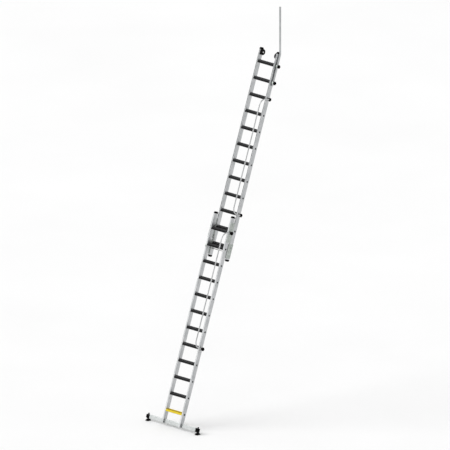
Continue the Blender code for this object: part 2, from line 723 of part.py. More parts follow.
def latch_mesh():
    """Latch plate about its pivot at (0, 0), lying along +y with its toe below."""
    hub = [(LATCH_HUB * cos(a), LATCH_HUB * sin(a)) for a in (radians(d) for d in range(60, 301, 30))]
    arm = [
        (LATCH_ARM - LATCH_TOE_BEVEL, LATCH_TOE_BEVEL - LATCH_TOE_DROP),
        (LATCH_ARM, -LATCH_TOE_DROP),
        (LATCH_ARM, LATCH_TOE_BEVEL),
        (LATCH_ARM - LATCH_TOE, LATCH_BACK),
    ]
    return prism(hub + arm, 0, LATCH_PLATE)


def add_latches(finish, fly):
    """Hooks inside the fly stiles, parked clear of the base treads."""
    for label, side in SIDES:
        outer = INNER_FACE - CLEARANCE
        start = outer - LATCH_PLATE if side == RIGHT else -outer
        spot = (start, -LATCH_PIVOT_FORWARD, tread_fixing(1) + LATCH_PIVOT_RISE)
        place(f"latch_{label}", latch_mesh(), finish, fly, spot, LATCH_PARKED)


# ---- Build ---------------------------------------------------------------------------


def clear_scene():
    for old in list(bpy.data.objects):
        bpy.data.objects.remove(old, do_unlink=True)


def add_empty(name, parent=None, location=(0, 0, 0), turn=0.0):
    made = bpy.data.objects.new(name, None)
    bpy.context.scene.collection.objects.link(made)
    made.parent = parent
    made.location = location
    made.rotation_euler = (turn, 0, 0)
    return made


def build():
    clear_scene()
    aluminium = material("aluminium_extrusion", (0.62, 0.63, 0.63), 0.38, 0.9)
    plate = material("guide_plate", (0.60, 0.62, 0.60), 0.42, 0.9)
    bright = material("rail_tube", (0.70, 0.71, 0.71), 0.30, 0.9)
    black = material("black_plastic", (0.012, 0.012, 0.012), 0.5)
    rubber = material("black_rubber", (0.016, 0.016, 0.016), 0.8)
    tread_black = material("tread_black", (0.022, 0.022, 0.023), 0.75)
    tread_yellow = material("tread_yellow", (0.62, 0.45, 0.02), 0.6)
    steel = material("zinc_steel", (0.55, 0.55, 0.54), 0.35, 0.95)

    base = add_empty("lean_frame", None, LEAN_ORIGIN, -TILT)
    fly = add_empty("fly_frame", base, (0, SECTION_OFFSET, FLY_DATUM))

    for label, side in SIDES:
        stile = add_stile(f"base_stile_{label}", aluminium, base, side, 0, BASE_TOP, 1)
        notch_for_crossbar(stile, aluminium)
        add_stile(f"fly_stile_{label}", aluminium, fly, side, FLY_BOTTOM, FLY_TOP, -1)
        place(f"base_top_cap_{label}", cap_mesh(1, 1), black, base, (side * HALF_SPACING, 0, BASE_TOP))
        spot = (side * HALF_SPACING, 0, FLY_BOTTOM)
        place(f"fly_bottom_cap_{label}", cap_mesh(-1, -1), black, fly, spot)
        add_foot(label, side, black, rubber, base)
        add_roller_end(label, side, black, rubber, fly)
    add_treads("base", base, {0: tread_black, 1: tread_yellow})
    add_treads("fly", fly, {0: tread_black})
    add_crossbar(aluminium, base)
    add_guides(plate, base, fly)

    under_plate = PLATE_OUTER + CLEARANCE
    rails = (
        ("base", base, BASE_RAIL_OUT, BASE_RAIL_FORWARD, BASE_RAIL_TREADS, (PLATE_INNER, under_plate)),
        ("fly", fly, FLY_RAIL_OUT, FLY_RAIL_FORWARD, FLY_RAIL_TREADS, (PLATE_INNER, PLATE_INNER)),
    )
    for prefix, section, out, forward, treads, seats in rails:
        heights = add_handrail(f"{prefix}_handrail", bright, section, out, forward, treads, seats)
        for label, height, seat in zip(("lower", "upper"), heights, seats):
            name = f"{prefix}_rail_knob_{label}"
            add_knob(name, black, section, KNOB_BEHIND, height, KNOB_START, seat + CLEARANCE)

    add_grab_rail(bright, plate, black, fly)
    rod_end = INNER_FACE - CLEARANCE
    rod = turned_on_x([(-rod_end, TIE_ROD_RADIUS), (rod_end, TIE_ROD_RADIUS)], 10)
    place("fly_tie_rod", rod, steel, fly, (0, 0, tread_fixing(1) - TIE_ROD_BELOW), smooth=True)
    add_latches(steel, fly)


build()
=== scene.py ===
# %% [markdown]
# # Extension ladder with wide treads
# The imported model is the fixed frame: it says how big every piece is and what moves.
# This lesson builds the looks round it, piece by piece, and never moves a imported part.
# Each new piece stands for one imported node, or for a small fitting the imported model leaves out.

import json
from math import atan2, cos, pi, radians, sin, tan

import bmesh
import bpy
from mathutils import Matrix, Vector


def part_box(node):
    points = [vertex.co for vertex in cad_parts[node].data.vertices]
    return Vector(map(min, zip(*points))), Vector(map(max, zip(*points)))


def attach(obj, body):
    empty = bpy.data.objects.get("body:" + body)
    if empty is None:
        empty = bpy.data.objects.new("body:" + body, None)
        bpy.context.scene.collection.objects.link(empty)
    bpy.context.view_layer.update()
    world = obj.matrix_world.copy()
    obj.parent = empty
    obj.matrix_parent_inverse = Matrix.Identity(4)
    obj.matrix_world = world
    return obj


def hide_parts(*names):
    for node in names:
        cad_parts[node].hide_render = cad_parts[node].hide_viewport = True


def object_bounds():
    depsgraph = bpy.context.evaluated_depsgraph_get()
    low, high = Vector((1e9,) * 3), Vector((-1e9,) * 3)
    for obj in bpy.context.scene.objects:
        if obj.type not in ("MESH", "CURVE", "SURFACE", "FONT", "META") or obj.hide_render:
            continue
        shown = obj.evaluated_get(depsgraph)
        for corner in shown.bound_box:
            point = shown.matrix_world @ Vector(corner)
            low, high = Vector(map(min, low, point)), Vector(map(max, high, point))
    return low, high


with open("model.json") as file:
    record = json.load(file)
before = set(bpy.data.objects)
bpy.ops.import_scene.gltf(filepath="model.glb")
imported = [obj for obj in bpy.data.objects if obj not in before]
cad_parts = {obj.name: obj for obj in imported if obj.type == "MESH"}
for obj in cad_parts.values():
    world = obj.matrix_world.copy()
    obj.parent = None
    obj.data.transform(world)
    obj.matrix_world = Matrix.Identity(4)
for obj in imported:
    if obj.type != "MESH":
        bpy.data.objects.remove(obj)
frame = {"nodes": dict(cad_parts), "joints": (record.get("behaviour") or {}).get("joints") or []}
cad_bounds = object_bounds()
bpy.ops.object.select_all(action="DESELECT")

# %% [markdown]
# ## The ladder's own axes
# The ladder leans, so nothing on it is square to the floor. It is easier to model each piece
# in axes that lean with the stiles, x across, y back, z up the stile, and to turn it into
# place at the very end. The direction the fly section slides in gives the lean.

# %% Axes along the stiles
slide = next(joint for joint in frame["joints"] if joint["name"] == "fly_slide")
up_the_stile = -Vector(slide["axis"])
lean = atan2(up_the_stile.y, up_the_stile.z)
FROM_LADDER = Matrix.Rotation(-lean, 4, "X")
TO_LADDER = FROM_LADDER.inverted()
LEFT, RIGHT = -1, 1
SIDES = {"left": LEFT, "right": RIGHT}


def ladder_box(node):
    """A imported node's lowest and highest corners, in the ladder's own axes."""
    points = [TO_LADDER @ v.co for v in frame["nodes"][node].data.vertices]
    low = Vector(min(p[i] for p in points) for i in range(3))
    high = Vector(max(p[i] for p in points) for i in range(3))
    return low, high


def middle_of(node):
    low, high = ladder_box(node)
    return (low + high) / 2


base_low, base_high = ladder_box("base_stile_right")
base_middle = middle_of("base_stile_right")
STILE_HALF_WIDTH = (base_high.x - base_low.x) / 2
STILE_HALF_DEPTH = (base_high.y - base_low.y) / 2
SPACING_HALF = base_middle.x
print("lean from upright, degrees:", round(lean * 180 / pi, 2))
print("stile, mm:", [round(1000 * s, 1) for s in base_high - base_low])

# %% [markdown]
# ## Working by hand, in code
# Blender's operators act on whatever is selected. These helpers keep that under control:
# one piece is selected alone, its faces or edges are picked by where they are, and a
# primitive's place and size go straight into its mesh, so that every finished piece sits
# at the origin.

# %% Selecting
def alone(piece):
    """Select one piece and nothing else."""
    bpy.ops.object.select_all(action="DESELECT")
    piece.select_set(True)
    bpy.context.view_layer.objects.active = piece
    return piece


def enter(piece):
    """Open a piece in edit mode, with all of it selected."""
    alone(piece)
    bpy.ops.object.mode_set(mode="EDIT")
    bpy.ops.mesh.select_mode(type="VERT")
    bpy.ops.mesh.select_all(action="SELECT")


def leave():
    bpy.ops.object.mode_set(mode="OBJECT")


def pick(kind, test):
    """In edit mode, select only the vertices, edges or faces that pass a test."""
    bpy.ops.mesh.select_mode(type=kind)
    bpy.ops.mesh.select_all(action="DESELECT")
    mesh = bpy.context.object.data
    shape = bmesh.from_edit_mesh(mesh)
    parts = {"VERT": shape.verts, "EDGE": shape.edges, "FACE": shape.faces}[kind]
    for part in parts:
        if test(part):
            part.select_set(True)
    bmesh.update_edit_mesh(mesh)


# %% Primitives at their size and place
def named(name):
    """Name the new primitive, and put its place, turn and size in its mesh."""
    piece = bpy.context.object
    piece.name = piece.data.name = name
    alone(piece)
    bpy.ops.object.transform_apply(location=True, rotation=True, scale=True)
    return piece


def block(name, low, high):
    low, high = Vector(low), Vector(high)
    bpy.ops.mesh.primitive_cube_add(size=1, location=(low + high) / 2, scale=high - low)
    return named(name)


ACROSS = (0, pi / 2, 0)


def drum(name, radius, length, middle, sides=32):
    """A cylinder that lies across the ladder, along x."""
    bpy.ops.mesh.primitive_cylinder_add(
        vertices=sides, radius=radius, depth=length, location=middle, rotation=ACROSS
    )
    return named(name)


# %% Cutting, softening and copying
def cut(piece, cutter):
    """Cut one piece out of another, and throw the cutter away."""
    alone(piece)
    step = piece.modifiers.new("Cut", "BOOLEAN")
    step.operation = "DIFFERENCE"
    step.solver = "EXACT"
    step.object = cutter
    bpy.ops.object.modifier_apply(modifier=step.name)
    bpy.data.objects.remove(cutter)
    return piece


def join(name, pieces):
    """Make several meshes one object."""
    bpy.ops.object.select_all(action="DESELECT")
    for piece in pieces:
        piece.select_set(True)
    bpy.context.view_layer.objects.active = pieces[0]
    bpy.ops.object.join()
    pieces[0].name = name
    return pieces[0]


SMOOTH_ANGLE = 32  # degrees: gentler edges than this are shaded smooth
FACING = 0.9  # a normal with this much of an axis faces along it


def smooth(piece, angle=SMOOTH_ANGLE):
    """Shade a piece smooth, except across its sharp edges."""
    alone(piece)
    bpy.ops.object.shade_smooth_by_angle(angle=radians(angle))
    return piece


def soften(piece, width, rounds=2, sharper_than=SMOOTH_ANGLE):
    """Round the sharp edges with a bevel and shade the rest smooth."""
    alone(piece)
    step = piece.modifiers.new("Soft edges", "BEVEL")
    step.width = width
    step.segments = rounds
    step.limit_method = "ANGLE"
    step.angle_limit = radians(sharper_than)
    bpy.ops.object.modifier_apply(modifier=step.name)
    return smooth(piece, sharper_than)


def close_up(piece):
    """Merge doubled points and turn every face outwards."""
    enter(piece)
    bpy.ops.mesh.remove_doubles(threshold=1e-6)
    bpy.ops.mesh.normals_make_consistent(inside=False)
    leave()
    return piece


def twin(piece, name, shift=(0, 0, 0), mirrored=False):
    """A copy with its own mesh, shifted, or mirrored across the ladder's middle."""
    copy = piece.copy()
    copy.data = piece.data.copy()
    copy.name = copy.data.name = name
    bpy.context.scene.collection.objects.link(copy)
    if mirrored:
        copy.data.transform(Matrix.Scale(-1, 4, (1, 0, 0)))
        close_up(copy)
    copy.data.transform(Matrix.Translation(shift))
    return copy


def settle(piece, finish, body, slot, *nodes, leaning=True):
    """Turn a piece into place, give it its finish and its body, and hide what it stands for."""
    if leaning:
        piece.data.transform(FROM_LADDER)
    piece.data.materials.clear()
    piece.data.materials.append(finish)
    if nodes:
        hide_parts(*nodes)
    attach(piece, body)
    return piece


NODE_EDGE = 35  # degrees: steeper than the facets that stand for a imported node's round faces


def eased(node, name, width, rounds=2, leaning=True):
    """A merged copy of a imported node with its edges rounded, in the ladder's axes if it leans."""
    copy = bpy.data.objects.new(name, frame["nodes"][node].data.copy())
    copy.data.name = name
    bpy.context.scene.collection.objects.link(copy)
    if leaning:
        copy.data.transform(TO_LADDER)
    enter(copy)
    bpy.ops.mesh.remove_doubles(threshold=1e-5)
    bpy.ops.mesh.dissolve_limited(angle_limit=radians(1))
    bpy.ops.mesh.customdata_custom_splitnormals_clear()
    leave()
    return soften(copy, width, rounds, NODE_EDGE)


# %% [markdown]
# ## Building a finish
# A colour given here is an sRGB hex value, and Blender works in linear light, so one
# function converts. Another adds a node with its settings and its links. A Mix node has one
# set of sockets for each kind of data, so its colours go by number: 0 is the factor, 6 and 7
# are the two colours, and output 2 is the result. All sizes of grain and grit are real ones in
# millimetres: a texture's scale is how many grains fit in a metre.

# %% Colour and node helpers
def paint(code):
    """A hex colour as linear red, green, blue and alpha."""
    parts = [int(code[i : i + 2], 16) / 255 for i in (1, 3, 5)]
    return (*[p / 12.92 if p <= 0.04045 else ((p + 0.055) / 1.055) ** 2.4 for p in parts], 1)


def add(tree, kind, inputs=None, **settings):
    """Add one node, set it up and plug its inputs in."""
    made = tree.nodes.new("ShaderNode" + kind)
    for name, value in settings.items():
        setattr(made, name, value)
    for socket, value in (inputs or {}).items():
        if isinstance(value, bpy.types.NodeSocket):
            tree.links.new(value, made.inputs[socket])
        else:
            made.inputs[socket].default_value = value
    return made


def grains(size_mm):
    """Texture scale for a grain of this size."""
    return 1000 / size_mm


def start_finish(name, **sockets):
    """An empty finish: its tree, its shader and where it is on the ladder."""
    finish = bpy.data.materials.new(name)
    finish.use_nodes = True
    tree = finish.node_tree
    shader = tree.nodes["Principled BSDF"]
    for socket, value in sockets.items():
        shader.inputs[socket.replace("_", " ")].default_value = value
    place = add(tree, "TexCoord")
    upright = add(tree, "Mapping", {"Vector": place.outputs["Object"], "Rotation": (lean, 0, 0)})
    return finish, tree, shader, upright.outputs["Vector"]


def two_tone(tree, factor, low, high, first, second):
    """Blend two colours as a texture goes from one value to another."""
    ramp = add(tree, "ValToRGB", {"Fac": factor})
    for stop, position, code in zip(ramp.color_ramp.elements, (low, high), (first, second)):
        stop.position = position
        stop.color = paint(code)
    return ramp.outputs["Color"]


def edge_wear(tree, radius_mm, body, code):
    """A body colour that turns to another on edges rubbed round by hands and boots."""
    rounded = add(tree, "Bevel", {"Radius": radius_mm / 1000}, samples=4)
    flat = add(tree, "NewGeometry")
    ways = {0: rounded.outputs["Normal"], 1: flat.outputs["Normal"]}
    same = add(tree, "VectorMath", ways, operation="DOT_PRODUCT")
    turned = {"Value": same.outputs["Value"], "From Min": 0.995, "From Max": 0.85}
    worn = {0: add(tree, "MapRange", turned).outputs["Result"], 6: body, 7: paint(code)}
    return add(tree, "Mix", worn, data_type="RGBA").outputs[2]


def surface(tree, shader, colour, roughness, bump):
    """Plug in a colour, a roughness (texture, low, high) and a bump (texture, metres, strength)."""
    tree.links.new(colour, shader.inputs["Base Color"])
    rough = dict(zip(("Value", "To Min", "To Max"), roughness))
    tree.links.new(add(tree, "MapRange", rough).outputs["Result"], shader.inputs["Roughness"])
    relief = dict(zip(("Height", "Distance", "Strength"), bump))
    tree.links.new(add(tree, "Bump", relief).outputs["Normal"], shader.inputs["Normal"])


# %% [markdown]
# ### Extruded aluminium
# The stiles and the crossbar are pushed hot through a steel die and left as they come.
# The die draws fine lines along the whole length, so the finish has a long silky streak,
# soft cloudy patches where it cooled, and slightly brighter rubbed corners.

# %% Extruded aluminium
def extruded_aluminium(name, dark, light, along=(1, 1, 0.012), line_mm=1.6):
    finish, tree, shader, place = start_finish(name, Metallic=1.0)
    stretched = add(tree, "VectorMath", {0: place, 1: along}, operation="MULTIPLY").outputs[0]
    lines = add(tree, "TexNoise", {"Vector": stretched, "Scale": grains(line_mm), "Detail": 4})
    clouds = add(tree, "TexNoise", {"Vector": place, "Scale": grains(120), "Detail": 3})
    streaks = two_tone(tree, lines.outputs["Fac"], 0.3, 0.7, dark, light)
    patches = two_tone(tree, clouds.outputs["Fac"], 0.3, 0.7, "#E6E8E8", "#FFFFFF")
    body = add(tree, "Mix", {0: 1.0, 6: streaks, 7: patches}, data_type="RGBA", blend_type="MULTIPLY")
    worn = edge_wear(tree, 1.5, body.outputs[2], "#E2E4E4")
    surface(tree, shader, worn, (lines.outputs["Fac"], 0.34, 0.5), (lines.outputs["Fac"], 0.00012, 0.5))
    return finish


stile_metal = extruded_aluminium("extruded_aluminium_stile", "#BCBDBE", "#D2D3D4")
crossbar_metal = extruded_aluminium(
    "extruded_aluminium_crossbar", "#B2B5B4", "#C8CAC9", along=(0.012, 1, 1)
)
tread_metal = extruded_aluminium("extruded_aluminium_tread", "#B0B2B3", "#C8CACB", (0.012, 1, 1))
print("extruded finishes:", stile_metal.name, crossbar_metal.name, tread_metal.name)

# %% [markdown]
# ### Brushed sheet and drawn tube
# The guide plates are punched from brushed sheet with a faint green-grey cast. The handrails
# and the grab rail are cold drawn tube, satin anodised: smoother than the stiles, with an
# even sheen and only faint drawing lines.

# %% Brushed sheet and satin tube
def brushed_sheet(name, dark, light):
    finish, tree, shader, place = start_finish(name, Metallic=1.0)
    stretched = add(tree, "VectorMath", {0: place, 1: (1, 1, 0.05)}, operation="MULTIPLY")
    brush = add(tree, "TexNoise", {"Vector": stretched.outputs[0], "Scale": grains(1), "Detail": 6})
    marks = add(tree, "TexNoise", {"Vector": place, "Scale": grains(35), "Detail": 5})
    colour = two_tone(tree, brush.outputs["Fac"], 0.35, 0.65, dark, light)
    smudged = two_tone(tree, marks.outputs["Fac"], 0.35, 0.6, "#E2E5E3", "#FFFFFF")
    body = add(tree, "Mix", {0: 1.0, 6: colour, 7: smudged}, data_type="RGBA", blend_type="MULTIPLY")
    worn = edge_wear(tree, 1.0, body.outputs[2], "#DCE0DD")
    surface(tree, shader, worn, (brush.outputs["Fac"], 0.38, 0.52), (brush.outputs["Fac"], 0.0001, 0.4))
    return finish


def satin_tube(name, dark, light):
    finish, tree, shader, place = start_finish(name, Metallic=1.0)
    stretched = add(tree, "VectorMath", {0: place, 1: (1, 1, 0.02)}, operation="MULTIPLY")
    drawn = add(tree, "TexNoise", {"Vector": stretched.outputs[0], "Scale": grains(1.2)})
    clouds = add(tree, "TexNoise", {"Vector": place, "Scale": grains(90), "Detail": 2})
    colour = two_tone(tree, drawn.outputs["Fac"], 0.3, 0.7, dark, light)
    patches = two_tone(tree, clouds.outputs["Fac"], 0.3, 0.7, "#ECEDED", "#FFFFFF")
    body = add(tree, "Mix", {0: 1.0, 6: colour, 7: patches}, data_type="RGBA", blend_type="MULTIPLY")
    roughness = (clouds.outputs["Fac"], 0.26, 0.38)
    surface(tree, shader, body.outputs[2], roughness, (drawn.outputs["Fac"], 0.00005, 0.4))
    return finish


guide_metal = brushed_sheet("brushed_aluminium_sheet", "#A9AEAA", "#C2C7C3")
rail_metal = satin_tube("satin_anodised_tube", "#B8B9BA", "#C8C9C9")
grab_metal = satin_tube("satin_anodised_grab_tube", "#B6B8B9", "#C6C8C8")
print("sheet and tube:", guide_metal.name, rail_metal.name, grab_metal.name)

# %% [markdown]
# ### Zinc plated steel
# Bolts, the tie rod and the latches are mild steel with a thin bright zinc coat. Zinc sets in
# small crystals, which gives a faint patchwork of slightly lighter and darker flakes.

# %% Zinc plated steel
def zinc_plated_steel(name):
    finish, tree, shader, place = start_finish(name, Metallic=1.0)
    flakes = add(tree, "TexVoronoi", {"Vector": place, "Scale": grains(2.5)})
    dust = add(tree, "TexNoise", {"Vector": place, "Scale": grains(9), "Detail": 5})
    both = {0: 0.5, 6: flakes.outputs["Color"], 7: dust.outputs["Color"]}
    tone = add(tree, "Mix", both, data_type="RGBA").outputs[2]
    grey = add(tree, "RGBToBW", {"Color": tone}).outputs["Val"]
    body = two_tone(tree, grey, 0.3, 0.7, "#9A9C9B", "#C4C5C2")
    worn = edge_wear(tree, 0.6, body, "#D6D6D3")
    surface(tree, shader, worn, (grey, 0.22, 0.42), (grey, 0.0001, 0.3))
    return finish


zinc_steel = zinc_plated_steel("zinc_plated_steel")
print("steel:", zinc_steel.name)

# %% [markdown]
# ### Moulded nylon and rubber
# Caps, knobs and foot holders are glass filled nylon. The mould is spark eroded, so the skin
# has a fine even grain, and rubbed edges go a shade greyer. The feet and the roller tyres are
# rubber: duller, with a powdery bloom in patches.

# %% Nylon and rubber
def moulded_nylon(name, dark, light, worn_colour, gloss=0.2, grain_mm=0.8):
    finish, tree, shader, place = start_finish(name, IOR=1.53, Specular_IOR_Level=gloss)
    grain = add(tree, "TexNoise", {"Vector": place, "Scale": grains(grain_mm), "Detail": 3})
    flow = add(tree, "TexNoise", {"Vector": place, "Scale": grains(30), "Detail": 2})
    body = two_tone(tree, flow.outputs["Fac"], 0.35, 0.65, dark, light)
    worn = edge_wear(tree, 1.0, body, worn_colour)
    surface(tree, shader, worn, (flow.outputs["Fac"], 0.42, 0.58), (grain.outputs["Fac"], 0.00015, 0.5))
    return finish


def cured_rubber(name):
    finish, tree, shader, place = start_finish(name, IOR=1.52, Specular_IOR_Level=0.12)
    bloom = add(tree, "TexNoise", {"Vector": place, "Scale": grains(18), "Detail": 6})
    pores = add(tree, "TexVoronoi", {"Vector": place, "Scale": grains(1.2)})
    body = two_tone(tree, bloom.outputs["Fac"], 0.4, 0.7, "#070707", "#101011")
    worn = edge_wear(tree, 1.5, body, "#1E1E1F")
    surface(tree, shader, worn, (bloom.outputs["Fac"], 0.65, 0.9), (pores.outputs["Distance"], 0.0002, 0.4))
    return finish


black_nylon = moulded_nylon("moulded_black_nylon", "#020202", "#050505", "#141415", 0.03)
grey_nylon = moulded_nylon("moulded_grey_nylon", "#DCDDDC", "#E8E9E7", "#F2F2F0")
rubber = cured_rubber("cured_black_rubber")
print("moulded:", black_nylon.name, grey_nylon.name, rubber.name)

# %% [markdown]
# ### Tread covers
# A tread carries a moulded nylon frame, and in it a mat with sharp corundum grit baked into
# its surface. The grit is half a millimetre, far too fine to show at this distance, so a
# second, coarser mottling of about 6 mm carries the gritty look. The lowest tread is safety
# yellow, so that feet find it.

# %% Gritty tread covers
def grit_mat(name, dark, light, sparkle):
    finish, tree, shader, place = start_finish(name, Specular_IOR_Level=0.1)
    grit = add(tree, "TexVoronoi", {"Vector": place, "Scale": grains(0.9)})
    mottle = add(tree, "TexNoise", {"Vector": place, "Scale": grains(6), "Detail": 6})
    body = two_tone(tree, mottle.outputs["Fac"], 0.35, 0.65, dark, light)
    grey = add(tree, "RGBToBW", {"Color": grit.outputs["Color"]}).outputs["Val"]
    glint = add(tree, "MapRange", {"Value": grey, "From Min": 0.72, "From Max": 0.82}).outputs[0]
    glinting = {0: glint, 6: edge_wear(tree, 0.8, body, light), 7: paint(sparkle)}
    colour = add(tree, "Mix", glinting, data_type="RGBA").outputs[2]
    surface(tree, shader, colour, (grey, 0.6, 0.95), (grit.outputs["Distance"], 0.0005, 0.8))
    return finish


black_grit = grit_mat("black_corundum_grit", "#2A2A2B", "#3A3A3B", "#666667")
yellow_grit = grit_mat("yellow_corundum_grit", "#9C8410", "#B89C18", "#DCC850")
black_cover = moulded_nylon("moulded_black_tread_cover", "#0C0C0D", "#141415", "#2A2A2B", 0.12)
yellow_cover = moulded_nylon("moulded_yellow_tread_cover", "#D2B81C", "#E2CB2C", "#F0DC50")
print("tread finishes:", black_grit.name, yellow_grit.name)

# %% [markdown]
# ## Stiles
# A stile is one long hollow extrusion with a T-shaped slot down the face that looks at the
# other section. It starts as a block, its long edges are rounded in edit mode, and the slot,
# the hollow, two shallow grooves on the outside and the holes for the tread fixings are cut
# out. The right-hand stile is the left one mirrored.

# %% Stile profile
SLOT_MOUTH = 0.009
SLOT_WIDTH = 0.017
SLOT_LIP = 0.0022
SLOT_DEPTH = 0.0092
STILE_WALL = 0.0025
CORNER = 0.003
GROOVE_WIDTH = 0.004
GROOVE_DEPTH = 0.0006
GROOVE_OFFSET = 0.0310
FIXING_BELOW = 0.0065  # tread fixing, below the tread's middle
FIXING_BEHIND = 0.003  # and behind the stile's middle
FIXING_RADIUS = 0.0155
SPARE = 0.01


def round_long_edges(piece, radius, rounds=3, axis=2):
    """Bevel only the edges that run along one axis."""
    enter(piece)

    def runs_along(edge):
        way = (edge.verts[1].co - edge.verts[0].co).normalized()
        return abs(way[axis]) > 0.99

    pick("EDGE", runs_along)
    bpy.ops.mesh.bevel(offset=radius, segments=rounds, affect="EDGES")
    leave()
    return piece


def stile(name, node, slot_way, treads):
    """A left-hand stile. slot_way is the sign of y that its slot faces."""
    low, high = ladder_box(node)
    x, y = (low.x + high.x) / 2, (low.y + high.y) / 2
    made = round_long_edges(block(name, low, high), CORNER)
    face = y + slot_way * STILE_HALF_DEPTH

    def channel(half, start, end):
        ends = sorted((face - slot_way * start, face - slot_way * end))
        return block("channel", (x - half, ends[0], low.z - SPARE), (x + half, ends[1], high.z + SPARE))

    cut(made, channel(SLOT_MOUTH / 2, -SPARE, SLOT_DEPTH))
    cut(made, channel(SLOT_WIDTH / 2, SLOT_LIP, SLOT_DEPTH))
    behind_slot, far_wall = SLOT_DEPTH + STILE_WALL, 2 * STILE_HALF_DEPTH - STILE_WALL
    cut(made, channel(STILE_HALF_WIDTH - STILE_WALL, behind_slot, far_wall))
    outside = low.x
    for offset in (-GROOVE_OFFSET, GROOVE_OFFSET):
        start = (outside - SPARE, y + offset - GROOVE_WIDTH / 2, low.z - SPARE)
        end = (outside + GROOVE_DEPTH, y + offset + GROOVE_WIDTH / 2, high.z + SPARE)
        cut(made, block("groove", start, end))
    bores = []
    for tread in treads:
        spot = Vector((outside, y + FIXING_BEHIND, middle_of(tread).z - FIXING_BELOW))
        bores.append(drum("bore", FIXING_RADIUS, 2 * STILE_WALL + CORNER, spot, sides=24))
    return cut(made, join("bores", bores))


base_treads = sorted(n for n in frame["nodes"] if n.startswith("base_tread"))
fly_treads = sorted(n for n in frame["nodes"] if n.startswith("fly_tread"))
base_left = stile("base_stile_left_profile", "base_stile_left", 1, base_treads)
fly_left = stile("fly_stile_left_profile", "fly_stile_left", -1, fly_treads)
print("stile faces:", len(base_left.data.polygons), len(fly_left.data.polygons))

# %% [markdown]
# The crossbar passes through a notch in the rear of each base stile's lower end, so the same
# notch is cut here, a hair larger than the crossbar's own box.

# %% Notch, mirror and place the stiles
bar_low, bar_high = ladder_box("crossbar")
HAIR = 0.0003
cut(
    base_left,
    block(
        "notch",
        (-base_high.x - SPARE, bar_low.y - HAIR, base_low.z - SPARE),
        (-base_low.x + SPARE, base_high.y + SPARE, bar_high.z + HAIR),
    ),
)
base_right = twin(base_left, "base_stile_right_profile", mirrored=True)
fly_right = twin(fly_left, "fly_stile_right_profile", mirrored=True)
for piece, body in ((base_left, "base"), (base_right, "base"), (fly_left, "fly"), (fly_right, "fly")):
    smooth(piece)
    settle(piece, stile_metal, body, "stile_aluminium", piece.name.replace("_profile", ""))

# %% [markdown]
# ## Tread fixings
# Each tread is flanged into its stiles, and the hole in the outer wall is closed with a small
# black plug. It sits almost flush, because the other section's straps slide past it. Where a
# guide plate lies over the hole, the plug closes the same hole in the plate.

# %% Where things cover a stile
BRACKET_HALF_HEIGHT = 0.022
NEARBY = 0.008
JUST_OUTSIDE = 0.002  # a spot this far off the stile is inside any plate that lies on it
guides = sorted(n for n in frame["nodes"] if "guide" in n)
clamps = sorted(n for n in frame["nodes"] if "clamp" in n)


def rail_foot_heights(section):
    """Heights of the two foot middles of a section's handrail."""
    low, high = ladder_box(f"{section}_handrail")
    return low.z + BRACKET_HALF_HEIGHT, high.z - BRACKET_HALF_HEIGHT


def under_rail_foot(section, side, height, reach):
    """True where a handrail's foot lies over this height of the right stile."""
    heights = rail_foot_heights(section)
    return side == RIGHT and any(abs(height - h) < BRACKET_HALF_HEIGHT + reach for h in heights)


def lies_over(node, spot, side):
    """True where a node lies over a spot on a stile's outer face."""
    low, high = ladder_box(node)
    across = low.x <= spot.x + side * JUST_OUTSIDE <= high.x
    inside = low.y - NEARBY < spot.y < high.y + NEARBY
    return across and inside and low.z - NEARBY < spot.z < high.z + NEARBY


# %% Plugs
PLUG_PROUD = 0.0002
PLUG_LENGTH = 0.006
PLUG_RIM = 0.0040
PLUG_SLOPE = 0.0015
PLUG_DISH = 0.0012
start_spot = Vector((-SPACING_HALF - STILE_HALF_WIDTH, base_middle.y + FIXING_BEHIND, 0))
plug_middle = start_spot + Vector((PLUG_LENGTH / 2 - PLUG_PROUD, 0, 0))
plug = drum("plug", FIXING_RADIUS - HAIR, PLUG_LENGTH, plug_middle, sides=24)
enter(plug)
pick("FACE", lambda face: face.normal.x < -FACING)
bpy.ops.mesh.inset(thickness=PLUG_RIM, depth=0)
bpy.ops.mesh.inset(thickness=PLUG_SLOPE, depth=-PLUG_DISH)
leave()
soften(plug, 0.0004, 1)
plug_count = 0
for section, treads in (("base", base_treads), ("fly", fly_treads)):
    for tread in treads:
        for label, side in SIDES.items():
            seat = ladder_box(f"{section}_stile_{label}")
            outside = seat[1].x if side == RIGHT else seat[0].x
            depth = (seat[0].y + seat[1].y) / 2 + FIXING_BEHIND
            spot = Vector((outside, depth, middle_of(tread).z - FIXING_BELOW))
            if under_rail_foot(section, side, spot.z, FIXING_RADIUS):
                continue
            if any(lies_over(node, spot, side) for node in clamps):
                continue
            lift = 0
            for node in (n for n in guides if lies_over(n, spot, side)):
                plate = ladder_box(node)
                lift = plate[1].x - outside if side == RIGHT else outside - plate[0].x
            # The copy is shifted after it is mirrored, so the lift goes outwards on both sides.
            shift = (side * lift, spot.y - start_spot.y, spot.z)
            copy = twin(plug, f"{tread}_plug_{label}", shift, mirrored=side == RIGHT)
            settle(copy, black_nylon, section, "black_plastic")
            plug_count += 1
bpy.data.objects.remove(plug)
print("plugs:", plug_count)

# %% [markdown]
# ## Treads
# A tread is level when the ladder leans, so it is modelled square to the floor. The body is an
# aluminium hollow section with a recessed underside. A black cover clips over its top and both
# long edges, and a gritty mat lies in the cover, moulded with rows of small studs. One tread
# is modelled at the lowest place and copied up both sections.

